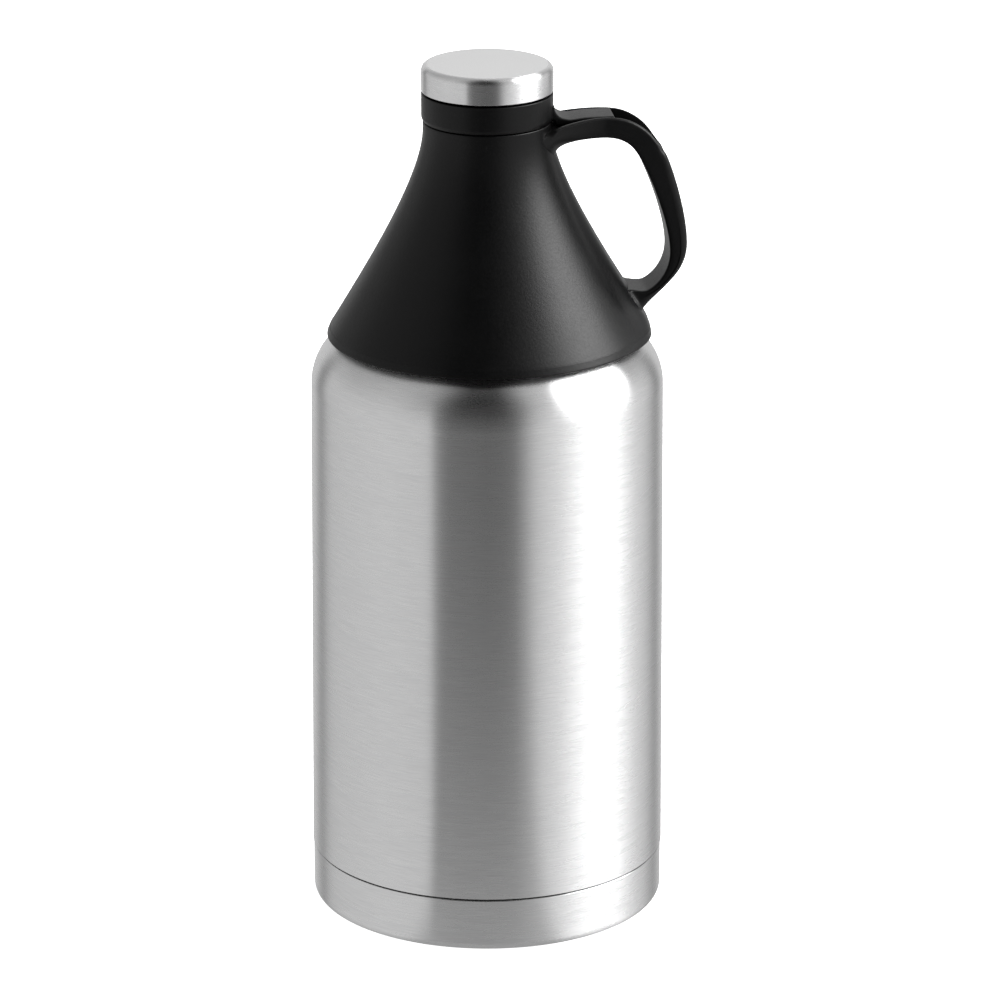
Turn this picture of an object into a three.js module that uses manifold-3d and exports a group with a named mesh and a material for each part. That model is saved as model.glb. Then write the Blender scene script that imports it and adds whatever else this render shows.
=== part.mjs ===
// Insulated steel growler with a black conical pouring top, a loop handle and a steel screw cap.
// Units are millimetres, +Z is up and the handle points along +X.
// The origin is the centre of the base, on the plane that the growler stands on.
import * as THREE from 'three';
import { mergeVertices } from 'three/addons/utils/BufferGeometryUtils.js';
import Module from 'manifold-3d';

const wasm = await Module();
wasm.setup();

// ---- Driving dimensions ----
const GAP = 0.3;                    // running and assembly gap between neighbouring pieces

const WALL_TOP_RADIUS = 63.6;       // steel wall where the shoulder begins
const WALL_FOOT_RADIUS = 64.5;      // steel wall just above the base seam
const SHEET = 0.7;                  // outer steel sheet
const LINER_SHEET = 0.6;            // inner steel sheet
const SEAM_Z = 20.2;                // lower edge of the visible wall
const SHOULDER_Z = 196.3;           // where the wall turns into the shoulder
const SHOULDER_ROUND = 20.7;        // shoulder radius
const NECK_RADIUS = 31.2;           // outside of the steel neck
const NECK_TOP = 236;               // top of the outer neck tube
const LINER_RADIUS = 59.6;          // outside of the inner vessel
const LINER_FLOOR = 9;              // underside of the inner vessel
const LINER_NECK_RADIUS = 29.2;     // outside of the inner neck tube
const CUP_RADIUS = 64.15;           // base cup
const CUP_TOP = 19.6;               // upper edge of the base cup
const CUP_FILLET = 3;

const MOUTH_PITCH = 6;              // thread between the steel neck and the conical top
const SPOUT_PITCH = 4;              // thread between the pouring spout and the cap

const CONE_WALL = 2.6;
const CONE_NECK_RADIUS = 23.05;
const CONE_TOP = 293.6;
const CONE_RIM_RADIUS = 57.95;
const CONE_FOOT = 214.5;
const CONE_CREASE = [56.7, 217.35]; // crease above the rim band
const CONE_SIDE = [                 // cubic curve of the concave side, from rim to neck
  [57.41, 216.04], [42.02, 241.71], [23.05, 273.8], [23.05, 290.75],
];
const LAND_HEIGHT = 2.75;           // raised land under the handle, at its foot
const LAND_FLAT = 9;                // degrees either side at full height
const LAND_FADE = 24;               // degrees either side where it has faded out
const LAND_RIM_FADE = 40;           // the same at the rim, where the land is wider and lower
const LAND_RIM_SHARE = 0.56;        // share of its height that is left at the rim
const LAND_RIM_TOP = 221;           // height below which it settles into the rim

const SKIRT_RADIUS = 37.4;          // threaded skirt inside the cone
const SKIRT_BORE = 33.9;
const DECK_Z = 239.8;               // underside of the deck that presses on the mouth gasket
const SPOUT_RADIUS = 16.9;
const SPOUT_BORE = 14.4;
const SPOUT_TOP = 301.6;
const COLLAR_TOP = 293.2;           // collar that fills the cone's top opening

const KEEPER_RADIUS = 23.6;
const KEEPER_BORE = 20.2;
const KEEPER_BOTTOM = 294;
const KEEPER_TOP = 304;
const CAP_RADIUS = 23.65;
const CAP_BOTTOM = 304.8;
const CAP_TOP = 314.4;
const CAP_SKIRT_RADIUS = 19.8;
const CAP_BORE = 18.9;
const CAP_EDGE_ROUND = 2.6;

const HANDLE_WIDTH = 17;
const HANDLE_EDGE_ROUND = 1.6;
const CHANNEL_WIDTH = 13.8;         // channel along the top of the handle
const TONGUE_WIDTH = 13;            // keeper tongue that lies in the channel
const TONGUE_END = 45.2;
// Handle outlines in the handle's middle plane, [distance from the axis, height]:
// a start point, then [first control, second control, end] of each cubic stretch.
const HANDLE_OUTSIDE_START = [13.9, 290.6];
const HANDLE_OUTSIDE = [
  [[15.9, 290.7], [17.6, 290.9], [19.8, 291.6]],
  [[27.6, 294.1], [43.2, 297.2], [51.3, 293.3]],
  [[58.6, 289.8], [59.7, 285.5], [63.0, 281.8]],
  [[65.0, 279.5], [71.1, 261.0], [71.6, 248.8]],
  [[71.9, 241.1], [68.9, 237.3], [65.2, 233.3]],
  [[61.4, 229.0], [58.2, 226.9], [54.8, 222.2]],
];
const HANDLE_INSIDE_START = [47, 231.8];
const HANDLE_INSIDE = [
  [[52.0, 231.4], [55.4, 229.7], [57.9, 231.2]],
  [[62.1, 233.7], [65.1, 238.6], [65.2, 244.3]],
  [[65.3, 253.2], [59.4, 269.3], [55.4, 277.3]],
  [[52.3, 283.7], [49.6, 287.0], [42.5, 287.6]],
  [[37.6, 287.9], [25.0, 286.8], [24.1, 282.1]],
  [[23.6, 279.9], [22.2, 278.8], [20.6, 278.1]],
];
const CHANNEL_DEPTHS = [            // [fraction along the arm, depth]: tongue bed, pocket, groove
  [0, 0.1], [0.05, 0.1], [0.11, 2], [0.181, 3.3], [0.261, 3.5], [0.273, 4.4], [0.316, 4],
  [0.382, 2], [0.449, 1], [0.572, 0.7], [0.715, 0.05], [1, 0.05],
];
const ROOT_START = 31;              // distance from the axis where the upper root starts to widen
const ROOT_END = 17.5;              // distance from the axis where it is widest
const ROOT_HALF_WIDTH = 14.7;

const SCREW_HEAD = 1.9;             // radii of the self-tapping handle screws
const SCREW_SHANK = 1;
const SCREW_HOLE = 1.2;
const SCREWS = [                    // seat on the cone's inner face, and drive direction in degrees up
  { name: 'handle_screw_upper', seat: [20.3, 0, 287.9], rise: 0, length: 8 },
  { name: 'handle_screw_lower_left', seat: [50.6, 3.6, 225.8], rise: 31, length: 5.8 },
  { name: 'handle_screw_lower_right', seat: [50.6, -3.6, 225.8], rise: 31, length: 5.8 },
];

const WIDE = 32;                    // facets round the large shells
const CONE_FACETS = 40;
const FINE = 24;                    // facets round the small ones

// ---- Materials ----
const brushedSteel = () =>
  new THREE.MeshStandardMaterial({ color: 0xc4c4c4, roughness: 0.33, metalness: 1 });
const rawSteel = () =>
  new THREE.MeshStandardMaterial({ color: 0xb0b0ae, roughness: 0.45, metalness: 1 });
const blackPlastic = () =>
  new THREE.MeshStandardMaterial({ color: 0x17181a, roughness: 0.55, metalness: 0 });
const silicone = () =>
  new THREE.MeshStandardMaterial({ color: 0xb9bab6, roughness: 0.7, metalness: 0 });
const foam = () =>
  new THREE.MeshStandardMaterial({ color: 0xf1f0ea, roughness: 0.95, metalness: 0 });
const glassSolder = () =>
  new THREE.MeshStandardMaterial({ color: 0x6d6f66, roughness: 0.4, metalness: 0 });
const zincScrew = () =>
  new THREE.MeshStandardMaterial({ color: 0x9a9ca0, roughness: 0.35, metalness: 1 });

// ---- Helpers ----
function arc(centreR, centreZ, radius, fromDegrees, toDegrees, steps = 5) {
  const points = [];
  for (let i = 0; i <= steps; i += 1) {
    const angle = THREE.MathUtils.degToRad(THREE.MathUtils.lerp(fromDegrees, toDegrees, i / steps));
    points.push([centreR + radius * Math.cos(angle), centreZ + radius * Math.sin(angle)]);
  }
  return points;
}

function cubic(p0, p1, p2, p3) {
  return new THREE.CubicBezierCurve(...[p0, p1, p2, p3].map(([r, z]) => new THREE.Vector2(r, z)));
}

// Solid of revolution about Z. The [radius, height] profile runs anticlockwise.
function revolve(profile, facets = WIDE) {
  const outline = profile.map(([r, z]) => new THREE.Vector2(r, z));
  if (profile[0][0] > 0) {
    outline.push(outline[0].clone());
  }
  return new THREE.LatheGeometry(outline, facets).rotateX(Math.PI / 2);
}

function tube(innerRadius, outerRadius, bottom, top, facets = FINE) {
  const profile = [[innerRadius, bottom], [outerRadius, bottom], [outerRadius, top], [innerRadius, top]];
  return revolve(profile, facets);
}

function disc(radius, bottom, top, facets = FINE) {
  return revolve([[0, bottom], [radius, bottom], [radius, top], [0, top]], facets);
}

function toSolid(geometry) {
  const bare = geometry.clone();
  bare.deleteAttribute('normal');
  bare.deleteAttribute('uv');
  const merged = mergeVertices(bare, 1e-4);
  const corners = merged.index.array;
  const triangles = [];
  for (let i = 0; i < corners.length; i += 3) {
    const [a, b, c] = [corners[i], corners[i + 1], corners[i + 2]];
    if (a !== b && b !== c && c !== a) {
      triangles.push(a, b, c);
    }
  }
  return new wasm.Manifold(new wasm.Mesh({
    numProp: 3,
    vertProperties: Float32Array.from(merged.attributes.position.array),
    triVerts: Uint32Array.from(triangles),
  }));
}

function toGeometry(solid) {
  const mesh = solid.getMesh();
  const geometry = new THREE.BufferGeometry();
  geometry.setAttribute('position', new THREE.BufferAttribute(mesh.vertProperties, 3));
  geometry.setIndex(new THREE.BufferAttribute(mesh.triVerts, 1));
  geometry.computeVertexNormals();
  return geometry;
}

// Helical ridge from inside the root radius out (or in) to the crest, faded at both ends.
function threadRidge({ root, crest, pitch, startZ, turns, base, tip, facets = 20 }) {
  const outward = Math.sign(crest - root);
  const buried = root - 0.4 * outward;
  const section = [[buried, -base / 2], [crest, -tip / 2], [crest, tip / 2], [buried, base / 2]];
  if (outward < 0) {
    section.reverse();
  }
  const shape = new THREE.Shape(section.map(([r, z]) => new THREE.Vector2(r, z)));
  const steps = Math.round(turns * facets);
  const ridge = new THREE.ExtrudeGeometry(shape, { depth: 1, steps, bevelEnabled: false });
  const position = ridge.attributes.position;
  for (let i = 0; i < position.count; i += 1) {
    const along = 1 - position.getZ(i);
    const angle = along * turns * 2 * Math.PI;
    const fade = Math.min(1, along * steps / 3, (1 - along) * steps / 3);
    const radius = buried + (position.getX(i) - buried) * THREE.MathUtils.lerp(0.35, 1, fade);
    const height = startZ + pitch * along * turns + position.getY(i);
    position.setXYZ(i, radius * Math.cos(angle), radius * Math.sin(angle), height);
  }
  return ridge;
}

// Height of the raised land at a place on the cone, by degrees from the handle's plane and height.
function landHeight(azimuth, z) {
  const settled = 1 - THREE.MathUtils.smoothstep(z, CONE_FOOT, LAND_RIM_TOP);
  const fade = THREE.MathUtils.lerp(LAND_FADE, LAND_RIM_FADE, settled);
  const across = 1 - THREE.MathUtils.smoothstep(azimuth, LAND_FLAT, fade);
  const down = THREE.MathUtils.clamp((290 - z) / (290 - 222), 0, 1);
  return LAND_HEIGHT * across * down * THREE.MathUtils.lerp(1, LAND_RIM_SHARE, settled);
}

// Pushes the cone's surface out into the raised land that carries the handle.
function raiseLand(geometry) {
  const position = geometry.attributes.position;
  for (let i = 0; i < position.count; i += 1) {
    const [x, y, z] = [position.getX(i), position.getY(i), position.getZ(i)];
    const azimuth = Math.abs(THREE.MathUtils.radToDeg(Math.atan2(y, x)));
    const radius = Math.hypot(x, y);
    const scale = radius > 1 ? (radius + landHeight(azimuth, z)) / radius : 1;
    position.setXY(i, x * scale, y * scale);
  }
  return geometry;
}

// Outer side of the cone, grown outwards by a margin.
function coneSide(margin, steps = 9) {
  const curve = cubic(...CONE_SIDE);
  const points = [];
  for (let i = 0; i <= steps; i += 1) {
    const point = curve.getPoint(i / steps);
    const along = curve.getTangent(i / steps);
    points.push([point.x + margin * along.y, point.y - margin * along.x]);
  }
  return points;
}

// Outer side of the pouring funnel, from the deck up to the spout.
function funnelSide(margin, steps = 6) {
  const curve = cubic([27.4, DECK_Z], [27.4, 257], [SPOUT_BORE, 268], [SPOUT_BORE, 286]);
  return curve.getPoints(steps).map((point) => [point.x + margin, point.y]);
}

// A screw, or the hole for one, lying along its drive direction from its seat.
function screwForm({ seat, rise, length }, headRadius, shankRadius) {
  const form = revolve([
    [0, -1.6], [headRadius, -1.6], [headRadius, 0], [shankRadius, 0],
    [shankRadius, length - 1], [0.3, length], [0, length],
  ], 12);
  form.rotateY(Math.PI / 2 - THREE.MathUtils.degToRad(rise));
  return form.translate(...seat);
}

// Takes the handle screws' holes out of a solid.
function drill(solid) {
  let drilled = solid;
  for (const screw of SCREWS) {
    const hole = screwForm({ ...screw, length: screw.length + 0.5 }, SCREW_HOLE, SCREW_HOLE);
    drilled = drilled.subtract(toSolid(hole));
  }
  return toGeometry(drilled);
}

// Extrudes an outline drawn in the handle's plane, centred on that plane.
function extrudeAcross(shape, width) {
  const geometry = new THREE.ExtrudeGeometry(shape, { depth: width, bevelEnabled: false });
  return geometry.translate(0, 0, -width / 2).rotateX(Math.PI / 2);
}

function polygon(points) {
  return new THREE.Shape(points.map(([r, z]) => new THREE.Vector2(r, z)));
}

// Closed solid through rings of points. The first ring's outline, seen against the sweep, fills both ends.
function loft(rings, outline) {
  const size = outline.length;
  const last = (rings.length - 1) * size;
  const corners = [];
  for (let low = 0; low < last; low += size) {
    for (let k = 0; k < size; k += 1) {
      const next = (k + 1) % size;
      corners.push(low + k, low + next, low + size + next, low + k, low + size + next, low + size + k);
    }
  }
  const flat = outline.map(([across, up]) => new THREE.Vector2(across, up));
  for (const [a, b, c] of THREE.ShapeUtils.triangulateShape(flat, [])) {
    corners.push(c, b, a, last + a, last + b, last + c);
  }
  const geometry = new THREE.BufferGeometry();
  geometry.setAttribute('position', new THREE.Float32BufferAttribute(rings.flat(2), 3));
  geometry.setIndex(corners);
  return geometry;
}

// ---- Steel vessel ----
function outerShell() {
  const inside = SHEET;
  const spigot = CUP_RADIUS - 1 - GAP;
  const shoulderCentre = WALL_TOP_RADIUS - SHOULDER_ROUND;
  const profile = [
    [spigot - inside, 3.6],
    [spigot, 3.6],
    [spigot, SEAM_Z - 0.2],
    [WALL_FOOT_RADIUS - 0.3, SEAM_Z],
    [WALL_FOOT_RADIUS, SEAM_Z + 0.4],
    ...arc(shoulderCentre, SHOULDER_Z, SHOULDER_ROUND, 0, 90, 6),
    [NECK_RADIUS + 2, SHOULDER_Z + SHOULDER_ROUND],
    [NECK_RADIUS, SHOULDER_Z + SHOULDER_ROUND + 2],
    [NECK_RADIUS, NECK_TOP],
    [NECK_RADIUS - inside, NECK_TOP],
    [NECK_RADIUS - inside, SHOULDER_Z + SHOULDER_ROUND - inside],
    ...arc(shoulderCentre, SHOULDER_Z, SHOULDER_ROUND - inside, 90, 0, 6),
    [WALL_FOOT_RADIUS - inside, SEAM_Z + 1.4],
    [spigot - inside, SEAM_Z + 0.9],
  ];
  const ridge = threadRidge({
    root: NECK_RADIUS, crest: 32.9, pitch: MOUTH_PITCH, startZ: 222.5, turns: 1.5, base: 2, tip: 1,
  });
  return toGeometry(toSolid(revolve(profile)).add(toSolid(ridge)));
}

function innerVessel() {
  const wall = LINER_SHEET;
  const neckBore = LINER_NECK_RADIUS - wall;
  const cornerRound = 9;
  const shoulderRound = 17;
  const shoulderZ = 194;
  const cornerR = LINER_RADIUS - cornerRound;
  const shoulderR = LINER_RADIUS - shoulderRound;
  return revolve([
    [0, LINER_FLOOR],
    ...arc(cornerR, LINER_FLOOR + cornerRound, cornerRound, -90, 0, 4),
    ...arc(shoulderR, shoulderZ, shoulderRound, 0, 90, 5),
    [LINER_NECK_RADIUS, shoulderZ + shoulderRound + 2],
    [LINER_NECK_RADIUS, NECK_TOP + GAP],
    [NECK_RADIUS + 0.2, NECK_TOP + GAP],
    [NECK_RADIUS + 0.2, NECK_TOP + GAP + wall],
    [neckBore, NECK_TOP + GAP + wall],
    [neckBore, shoulderZ + shoulderRound + 1.6],
    ...arc(shoulderR, shoulderZ, shoulderRound - wall, 90, 0, 5),
    ...arc(cornerR, LINER_FLOOR + cornerRound, cornerRound - wall, 0, -90, 4),
    [0, LINER_FLOOR + wall],
  ]);
}

function vacuumBasePlate() {
  const rim = CUP_RADIUS - 1 - GAP - SHEET - GAP;
  return revolve([
    [2, 4.7], [rim, 4.7], [rim, 7.8], [rim - 0.7, 7.8], [rim - 0.7, 5.4], [2, 5.4],
  ]);
}

function vacuumSealPlug() {
  return revolve([[0, 3.4], [4.6, 3.4], [4.6, 4.1], [1.6, 4.4], [1.6, 5.2], [0, 5.2]], 20);
}

function getterHolder() {
  return tube(6.3, 7, 6.9, LINER_FLOOR - GAP, 20).translate(24, 0, 0);
}

function getterPill() {
  return disc(5.9, 7, 8.5, 20).translate(24, 0, 0);
}

function baseCup() {
  const wall = 1;
  const grooveOuter = 46;
  const grooveInner = 38;
  const grooveDepth = 0.8;
  const fillet = CUP_FILLET;
  return revolve([
    [0, 0], [grooveInner, 0], [grooveInner + 1.5, grooveDepth],
    [grooveOuter - 1.5, grooveDepth], [grooveOuter, 0],
    ...arc(CUP_RADIUS - fillet, fillet, fillet, -90, 0, 4),
    [CUP_RADIUS, CUP_TOP - 0.4], [CUP_RADIUS - 0.4, CUP_TOP], [CUP_RADIUS - wall, CUP_TOP],
    ...arc(CUP_RADIUS - fillet, fillet, fillet - wall, 0, -90, 3),
    [grooveOuter, wall], [grooveOuter - 1.5, wall + grooveDepth],
    [grooveInner + 1.5, wall + grooveDepth], [grooveInner, wall], [0, wall],
  ]);
}

// ---- Conical pouring top ----
function mouthGasket() {
  const bottom = NECK_TOP + LINER_SHEET + 2 * GAP;
  return tube(28.9, 33.3, bottom, DECK_Z - GAP, WIDE);
}

function coneShell() {
  const [creaseR, creaseZ] = CONE_CREASE;
  const outside = coneSide(0).filter(([, z]) => z > creaseZ + 1);
  const inside = coneSide(-CONE_WALL).filter(([, z]) => z > CONE_FOOT + 3 && z < 287).reverse();
  const boreTop = CONE_NECK_RADIUS - CONE_WALL;
  const shell = raiseLand(revolve([
    [CONE_RIM_RADIUS - 2.9, CONE_FOOT], [CONE_RIM_RADIUS - 0.9, CONE_FOOT],
    [CONE_RIM_RADIUS - 0.3, CONE_FOOT + 0.2], [CONE_RIM_RADIUS, CONE_FOOT + 0.8], [creaseR, creaseZ],
    ...outside,
    [CONE_NECK_RADIUS, CONE_TOP], [19.3, CONE_TOP], [19.3, CONE_TOP - CONE_WALL],
    [boreTop, CONE_TOP - CONE_WALL],
    ...inside,
  ], CONE_FACETS));
  return drill(toSolid(shell));
}

function pourFunnel() {
  const wall = 2.2;
  const flangeR = 51.4;
  const flangeZ = 218.8;
  const collar = 19;
  const profile = [
    [SKIRT_BORE, flangeZ], [flangeR, flangeZ], [flangeR, flangeZ + 1.8], [SKIRT_RADIUS, flangeZ + 1.8],
    [SKIRT_RADIUS, DECK_Z + 2.4], [27.5 + wall, DECK_Z + 2.4],
    ...funnelSide(wall).slice(1),
    [SPOUT_RADIUS - 0.3, COLLAR_TOP - CONE_WALL - 1], [collar, COLLAR_TOP - CONE_WALL - GAP],
    [collar, COLLAR_TOP], [SPOUT_RADIUS, COLLAR_TOP],
    [SPOUT_RADIUS, SPOUT_TOP - 0.5], [SPOUT_RADIUS - 0.5, SPOUT_TOP],
    [SPOUT_BORE + 0.5, SPOUT_TOP], [SPOUT_BORE, SPOUT_TOP - 0.5],
    ...funnelSide(0).reverse(),
    [SKIRT_BORE, DECK_Z],
  ];
  const mouthThread = threadRidge({
    root: SKIRT_BORE, crest: 32.1, pitch: MOUTH_PITCH, startZ: 222.5 + MOUTH_PITCH / 2,
    turns: 1.25, base: 2, tip: 1,
  });
  const spoutThread = threadRidge({
    root: SPOUT_RADIUS, crest: 18.2, pitch: SPOUT_PITCH, startZ: 294.6, turns: 1.25, base: 1.5, tip: 0.7,
  });
  return toGeometry(toSolid(revolve(profile)).add(toSolid(mouthThread)).add(toSolid(spoutThread)));
}

function coneInsulation() {
  const bottom = 221;
  const top = 284;
  const clearance = 0.5;
  const outside = coneSide(-CONE_WALL - clearance).filter(([, z]) => z > bottom + 2 && z < top);
  const inside = funnelSide(2.2 + clearance).filter(([, z]) => z > 246 && z < top - 2).reverse();
  return revolve([
    [SKIRT_RADIUS + clearance, bottom], [49.8, bottom], ...outside, [20.2, top], [17.3, top],
    ...inside,
    [30.6, 246], [30.6, DECK_Z + 3], [SKIRT_RADIUS + clearance, DECK_Z + 3],
  ]);
}

function handlePath(start, stretches) {
  const path = new THREE.Path();
  path.moveTo(...start);
  stretches.forEach(([a, b, end]) => path.bezierCurveTo(...a, ...b, ...end));
  return path;
}

// Depth of the channel below the handle's outer face, at a fraction of the way along the arm.
function channelDepth(fraction) {
  const next = Math.max(1, CHANNEL_DEPTHS.findIndex(([at]) => at >= fraction));
  const [[from, depthFrom], [to, depthTo]] = [CHANNEL_DEPTHS[next - 1], CHANNEL_DEPTHS[next]];
  return THREE.MathUtils.mapLinear(fraction, from, to, depthFrom, depthTo);
}

// Section across the arm as [across, depth below the outer face], from the inner face round.
function armSection(thickness, channel) {
  const half = HANDLE_WIDTH / 2;
  const bank = CHANNEL_WIDTH / 2;
  const round = HANDLE_EDGE_ROUND;
  const soft = round * 0.3;
  const flank = thickness - 2 * round;
  const side = [
    [half - round, thickness], [half - soft, thickness - soft], [half, thickness - round],
    [half, round + flank * 0.6], [half, round + flank * 0.25], [half, round],
    [half - soft * 0.8, soft * 0.8], [half - round * 0.7, 0], [bank, 0], [bank - 0.1, channel],
  ];
  return [...side, ...side.map(([across, depth]) => [-across, depth]).reverse()];
}

// How much wider the arm is than its plain width, towards its root on the neck. Level is 1 at the outer face.
function rootWidening(level, x) {
  const reach = THREE.MathUtils.clamp((ROOT_START - x) / (ROOT_START - ROOT_END), 0, 1);
  const grown = 1 + (ROOT_HALF_WIDTH / (HANDLE_WIDTH / 2) - 1) * reach ** 2;
  const hollow = (1 - Math.max(0, 1 - level / 0.85) ** 2) ** 0.65;
  return grown * THREE.MathUtils.lerp(1, hollow, reach ** 1.5);
}

function handle() {
  const outside = handlePath(HANDLE_OUTSIDE_START, HANDLE_OUTSIDE);
  const inside = handlePath(HANDLE_INSIDE_START, HANDLE_INSIDE);
  const stations = 42;
  const rings = [];
  for (let i = 0; i <= stations; i += 1) {
    const fraction = i / stations;
    const outer = outside.getPoint(fraction);
    const inward = inside.getPoint(1 - fraction).sub(outer);
    const thickness = inward.length();
    rings.push(armSection(thickness, channelDepth(fraction)).map(([across, depth]) => {
      const point = outer.clone().addScaledVector(inward, depth / thickness);
      const inChannel = Math.abs(across) <= CHANNEL_WIDTH / 2 && depth < thickness / 2;
      const widening = inChannel ? 1 : rootWidening(1 - depth / thickness, point.x);
      return [point.x, across * widening, point.y];
    }));
  }
  const arm = loft(rings, rings[0].map(([, y, z]) => [y, z]));
  const core = raiseLand(revolve([
    [0, 205], [CONE_RIM_RADIUS + GAP, 205], [CONE_RIM_RADIUS + GAP, CONE_FOOT + 2],
    ...coneSide(GAP).filter(([, z]) => z > CONE_FOOT + 2.6),
    [CONE_NECK_RADIUS + GAP, 300], [0, 300],
  ], CONE_FACETS));
  return drill(toSolid(arm).subtract(toSolid(core)));
}

function handleScrew(screw) {
  return screwForm(screw, SCREW_HEAD, SCREW_SHANK).translate(-GAP, 0, 0);
}

// ---- Cap and its keeper ----
function capKeeper() {
  const bevel = 0.55;
  const lipBore = KEEPER_BORE + 1.2;
  const ring = revolve([
    [lipBore, KEEPER_BOTTOM], [KEEPER_RADIUS - bevel, KEEPER_BOTTOM],
    [KEEPER_RADIUS, KEEPER_BOTTOM + 1.25], [KEEPER_RADIUS, KEEPER_TOP - 0.3],
    [KEEPER_RADIUS - 0.3, KEEPER_TOP], [KEEPER_BORE, KEEPER_TOP],
    [KEEPER_BORE, KEEPER_BOTTOM + 2.6], [lipBore, KEEPER_BOTTOM + 2.4],
  ]);
  const tongue = extrudeAcross(polygon([
    [18, KEEPER_BOTTOM], [24, KEEPER_BOTTOM], [28, 292], [TONGUE_END - 0.2, 291.95], [TONGUE_END, 292.4],
    [TONGUE_END - 0.1, 294.5], [TONGUE_END - 0.9, 295.3], [36, 295.15], [29, 294.45],
    [26, 294.9], [24.4, 296.2], [23.4, 298.6], [18, 298.6],
  ]), TONGUE_WIDTH);
  const bore = disc(KEEPER_BORE + 0.05, 280, 320, WIDE);
  const recess = disc(lipBore, 280, KEEPER_BOTTOM + 2.4, WIDE);
  const body = toSolid(tongue).subtract(toSolid(bore)).subtract(toSolid(recess));
  return toGeometry(toSolid(ring).add(body));
}

function capCover() {
  const wall = 0.7;
  const round = CAP_EDGE_ROUND;
  const dome = 0.3;
  const centreR = CAP_RADIUS - round;
  const centreZ = CAP_TOP - round;
  return revolve([
    [0, CAP_TOP + dome - wall],
    ...arc(centreR, centreZ, round - wall, 90, 0, 3),
    [CAP_RADIUS - wall, CAP_BOTTOM], [CAP_RADIUS, CAP_BOTTOM],
    ...arc(centreR, centreZ, round, 0, 90, 4),
    [0, CAP_TOP + dome],
  ]);
}

function capBody() {
  const lip = CAP_SKIRT_RADIUS + 1.1;
  const cupRadius = 22.6;
  const cupBottom = KEEPER_TOP + 0.35;
  const profile = [
    [0, 304.1], [CAP_BORE, 304.1], [CAP_BORE, KEEPER_BOTTOM], [lip - 0.3, KEEPER_BOTTOM],
    [lip, KEEPER_BOTTOM + 0.3], [lip, KEEPER_BOTTOM + 1.7], [CAP_SKIRT_RADIUS, KEEPER_BOTTOM + 2],
    [CAP_SKIRT_RADIUS, cupBottom], [cupRadius, cupBottom],
    [cupRadius, 312.6], [21, 312.6], [21, 305.9], [0, 305.9],
  ];
  const thread = threadRidge({
    root: CAP_BORE, crest: 17.6, pitch: SPOUT_PITCH, startZ: 294.6 + SPOUT_PITCH / 2,
    turns: 1.1, base: 1.5, tip: 0.7,
  });
  return toGeometry(toSolid(revolve(profile)).add(toSolid(thread)));
}

function capInsulation() {
  return disc(20.7, 306.2, 312.8);
}

function capGasket() {
  return tube(12.5, 18.3, SPOUT_TOP + GAP, 303.8);
}

// ---- Assembly ----
const growler = new THREE.Group();

function place(name, geometry, material) {
  const mesh = new THREE.Mesh(geometry, material);
  mesh.name = name;
  growler.add(mesh);
}

place('outer_shell', outerShell(), brushedSteel());
place('inner_vessel', innerVessel(), rawSteel());
place('vacuum_base_plate', vacuumBasePlate(), rawSteel());
place('vacuum_seal_plug', vacuumSealPlug(), glassSolder());
place('getter_holder', getterHolder(), rawSteel());
place('getter_pill', getterPill(), glassSolder());
place('base_cup', baseCup(), brushedSteel());
place('mouth_gasket', mouthGasket(), silicone());
place('cone_shell', coneShell(), blackPlastic());
place('pour_funnel', pourFunnel(), blackPlastic());
place('cone_insulation', coneInsulation(), foam());
place('handle', handle(), blackPlastic());
SCREWS.forEach((screw) => place(screw.name, handleScrew(screw), zincScrew()));
place('cap_keeper', capKeeper(), blackPlastic());
place('cap_cover', capCover(), brushedSteel());
place('cap_body', capBody(), blackPlastic());
place('cap_insulation', capInsulation(), foam());
place('cap_gasket', capGasket(), silicone());

export default growler;
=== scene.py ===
"""Looks of the insulated steel growler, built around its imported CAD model.

Outlines are drawn in millimetres as (radius, height) and become meshes in metres. +Z is up, the handle
points along +X, and the origin is the centre of the base.
"""

import math

import bmesh
import bpy
from mathutils import Matrix, Vector


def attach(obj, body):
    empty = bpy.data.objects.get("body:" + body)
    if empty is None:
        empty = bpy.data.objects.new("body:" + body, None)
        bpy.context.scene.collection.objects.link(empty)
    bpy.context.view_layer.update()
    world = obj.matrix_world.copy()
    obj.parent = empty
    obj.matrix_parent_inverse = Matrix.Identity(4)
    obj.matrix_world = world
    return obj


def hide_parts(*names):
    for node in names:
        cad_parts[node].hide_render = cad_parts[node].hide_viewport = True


MM = 0.001

# ---- Dimensions, in millimetres ----
WALL_TOP_RADIUS = 63.6
WALL_FOOT_RADIUS = 64.5
SHEET = 0.7
SEAM_Z = 20.2
SHOULDER_Z = 196.3
SHOULDER_ROUND = 20.7
NECK_RADIUS = 31.2
NECK_TOP = 236
LINER_RADIUS = 59.6
LINER_FLOOR = 9
LINER_SHEET = 0.6
LINER_NECK_RADIUS = 29.2
CUP_RADIUS = 64.15
CUP_TOP = 19.6
CUP_FILLET = 3
SPIGOT_RADIUS = CUP_RADIUS - 1.3      # outer shell inside the base cup

MOUTH_PITCH = 6
MOUTH_THREAD_START = 222.5
SPOUT_PITCH = 4
SPOUT_THREAD_START = 294.6

CONE_WALL = 2.6
CONE_NECK_RADIUS = 23.05
CONE_TOP = 293.6
CONE_RIM_RADIUS = 57.95
CONE_FOOT = 214.5
CONE_CREASE = (56.7, 217.35)          # crease above the rim band
CONE_SIDE = [(57.41, 216.04), (42.02, 241.71), (23.05, 273.8), (23.05, 290.75)]
LAND_HEIGHT = 2.75                    # raised land under the handle
LAND_TOP = 290                        # height where the land has faded into the cone
LAND_FULL = 222                       # height where it reaches its full height
LAND_FLAT = 9
LAND_FADE = 24
LAND_RIM_FADE = 40                    # at the rim the land is wider and lower
LAND_RIM_SHARE = 0.56
LAND_RIM_TOP = 221

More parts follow.
